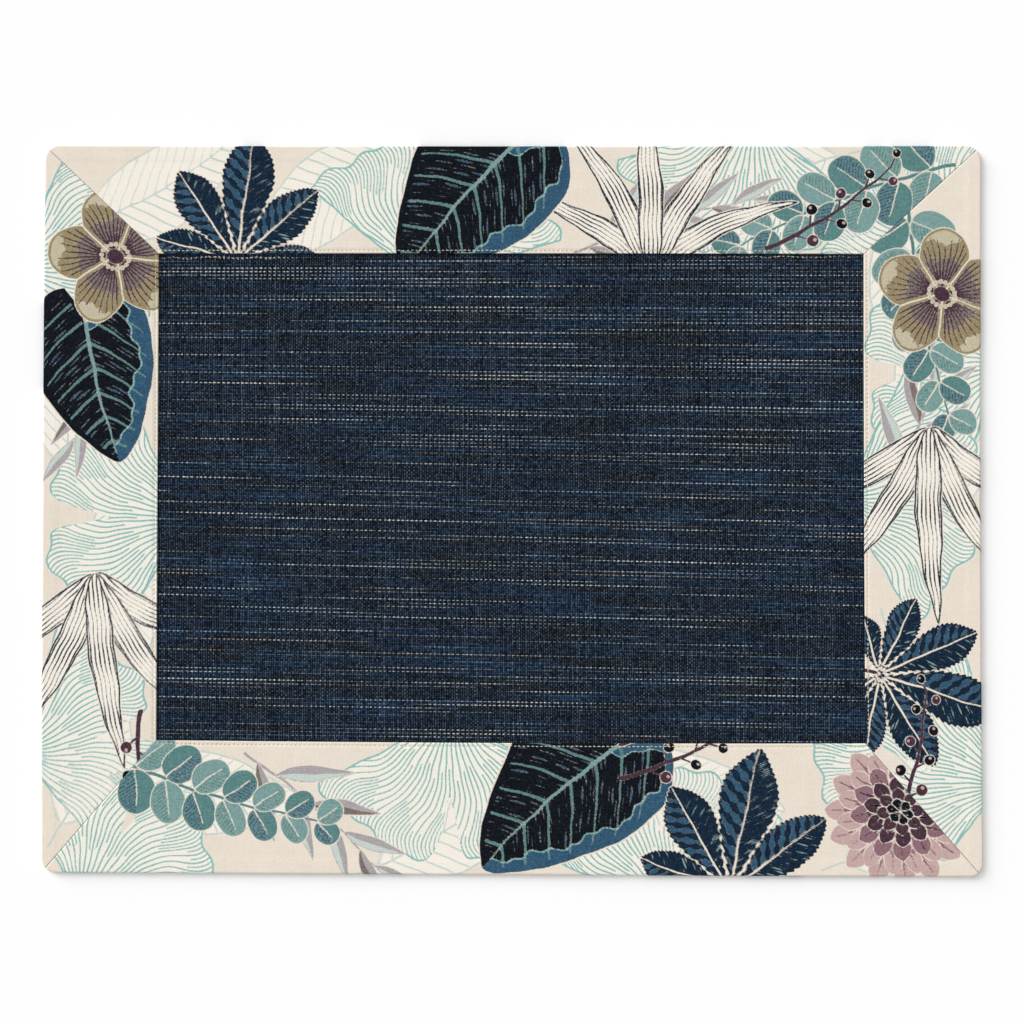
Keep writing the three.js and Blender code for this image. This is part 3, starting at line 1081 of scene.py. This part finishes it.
def slub_floats(material):
    """Slub picks: pale yarn floating over every other warp thread. Along a run the dashes swell and fade as
    sin(pi share)^0.5 and turn tan at its ends, and its row falls to the right as the picks do."""
    draw = np.random.default_rng(SEED)
    runs = slub_runs(draw)
    (left, low), (right, high) = opening_box()
    counts = np.maximum(3, (runs.span / (2 * WARP_PITCH)).astype(int))
    of_run, order = numbered(counts)
    run = SlubRun(*(column[of_run] for column in runs))
    thread = 2 * (np.round(run.start / (2 * WARP_PITCH)) + order) + 0.5
    x = thread * WARP_PITCH + draw.normal(0, 0.17, len(order))
    straight_y = (2 * np.round(run.row / (2 * PICK_PITCH)) - 0.5) * PICK_PITCH
    y = askew(x, straight_y) + run.waver * np.sin(x / 2.6 + 2 * np.sin(x / 9))
    swell = np.sin(np.pi * (order + 0.5) / counts[of_run]) ** 0.5
    bright = np.clip(swell * run.strength + draw.normal(0, 0.09, len(order)), 0, 1)
    warmth = np.clip(run.warmth + 0.35 * (1 - swell) * (run.warmth > 0.2), 0, 1)
    kept = (x > left - 1) & (x < right + 1) & (bright > 0.2) & (y > low - 0.5) & (y < high + 0.3)
    x, y, bright, warmth, waver = (values[kept] for values in (x, y, bright, warmth, run.waver))
    tilt = draw.normal(0, 0.07, len(x)) + draw.normal(0, 1.4, len(x)) * waver
    lengths = WARP_PITCH * draw.uniform(1.3, 1.9, len(x))
    knot_x, knot_y, knot_bright = warp_knots(draw)
    knots = len(knot_x)
    x, y, bright = np.append(x, knot_x), np.append(y, knot_y), np.append(bright, knot_bright)
    warmth = np.append(warmth, np.full(knots, KNOT_WARMTH))
    tilt = np.append(tilt, np.full(knots, math.pi / 2))
    lengths = np.append(lengths, np.full(knots, KNOT_LENGTH))
    ways = np.stack([np.cos(tilt), np.sin(tilt)], axis=1)
    widths = PICK_PITCH * (0.52 + 0.28 * bright)
    thick = np.full(len(x), FLOAT_THICKNESS)
    centres = np.column_stack([x, y, np.full(len(x), PANEL_TOP - 0.02)])
    points, faces = pillow_row(centres, ways, lengths, widths, thick, rings=3, sides=4)
    piece = new_piece("slub_floats", points, faces, material)
    per_float = len(points) // len(x)
    set_values(piece, "dye", np.repeat(bright, per_float))
    set_values(piece, "warmth", np.repeat(warmth, per_float))
    return piece


# Stage

# A long lens straight above, through which the photo is so wide at the cloth's height
PHOTO_WIDTH = 490.6
CAMERA_HEIGHT = 1700.0
CAMERA_Y = -0.4
SENSOR = 36.0
FLOOR_REACH = 20000.0

# How bright the even surround is, and each lamp's share of the light on the paper, way and width
SURROUND = 0.56
Lamp = namedtuple("Lamp", "share way degrees")
LAMPS = {
    "key": Lamp(0.16, (-0.42, 0.42, 0.80), 50),
    "skim": Lamp(0.31, (-0.71, 0.57, 0.38), 40),
}


def paper_table():
    """A wide sheet of white paper to lie on."""
    reach = FLOOR_REACH * MM
    corners = [(-reach, -reach, 0), (reach, -reach, 0), (reach, reach, 0), (-reach, reach, 0)]
    paper = bpy.data.meshes.new("table")
    paper.from_pydata(corners, [], [(0, 1, 2, 3)])
    paper.materials.append(studio_paper())
    table = add_object("table", paper)


def studio_light():
    """An even white surround, a soft key and a lower skim light from the back left, which draws a soft
    shadow along the right and front edges."""
    world = bpy.data.worlds.new("surround")
    world.use_nodes = True
    world.node_tree.nodes["Background"].inputs["Color"].default_value = (1.0, 1.0, 1.0, 1.0)
    world.node_tree.nodes["Background"].inputs["Strength"].default_value = SURROUND
    bpy.context.scene.world = world
    for name, lamp in LAMPS.items():
        way = Vector(lamp.way).normalized()
        sun = bpy.data.lights.new(name, "SUN")
        sun.energy = lamp.share * math.pi / way.z
        sun.angle = math.radians(lamp.degrees)
        add_object(name, sun).rotation_euler = way.to_track_quat("Z", "Y").to_euler()


def photo_camera():
    """The photo's view, straight down, with colours shown as they are."""
    lens = bpy.data.cameras.new("camera")
    lens.sensor_width = SENSOR
    lens.lens = SENSOR * (CAMERA_HEIGHT - BORDER_TOP) / PHOTO_WIDTH
    camera = add_object("camera", lens)
    camera.location = (0.0, CAMERA_Y * MM, CAMERA_HEIGHT * MM)
    bpy.context.scene.camera = camera
    bpy.context.scene.view_settings.view_transform = "Standard"


paper_table()
studio_light()
photo_camera()
woven_panel(slub_canvas())
slub_floats(slub_yarn())
cotton = printed_cotton()
for strip_name, strip in STRIPS.items():
    border_strip(strip_name, strip, cotton)
topstitching(sewing_cotton())
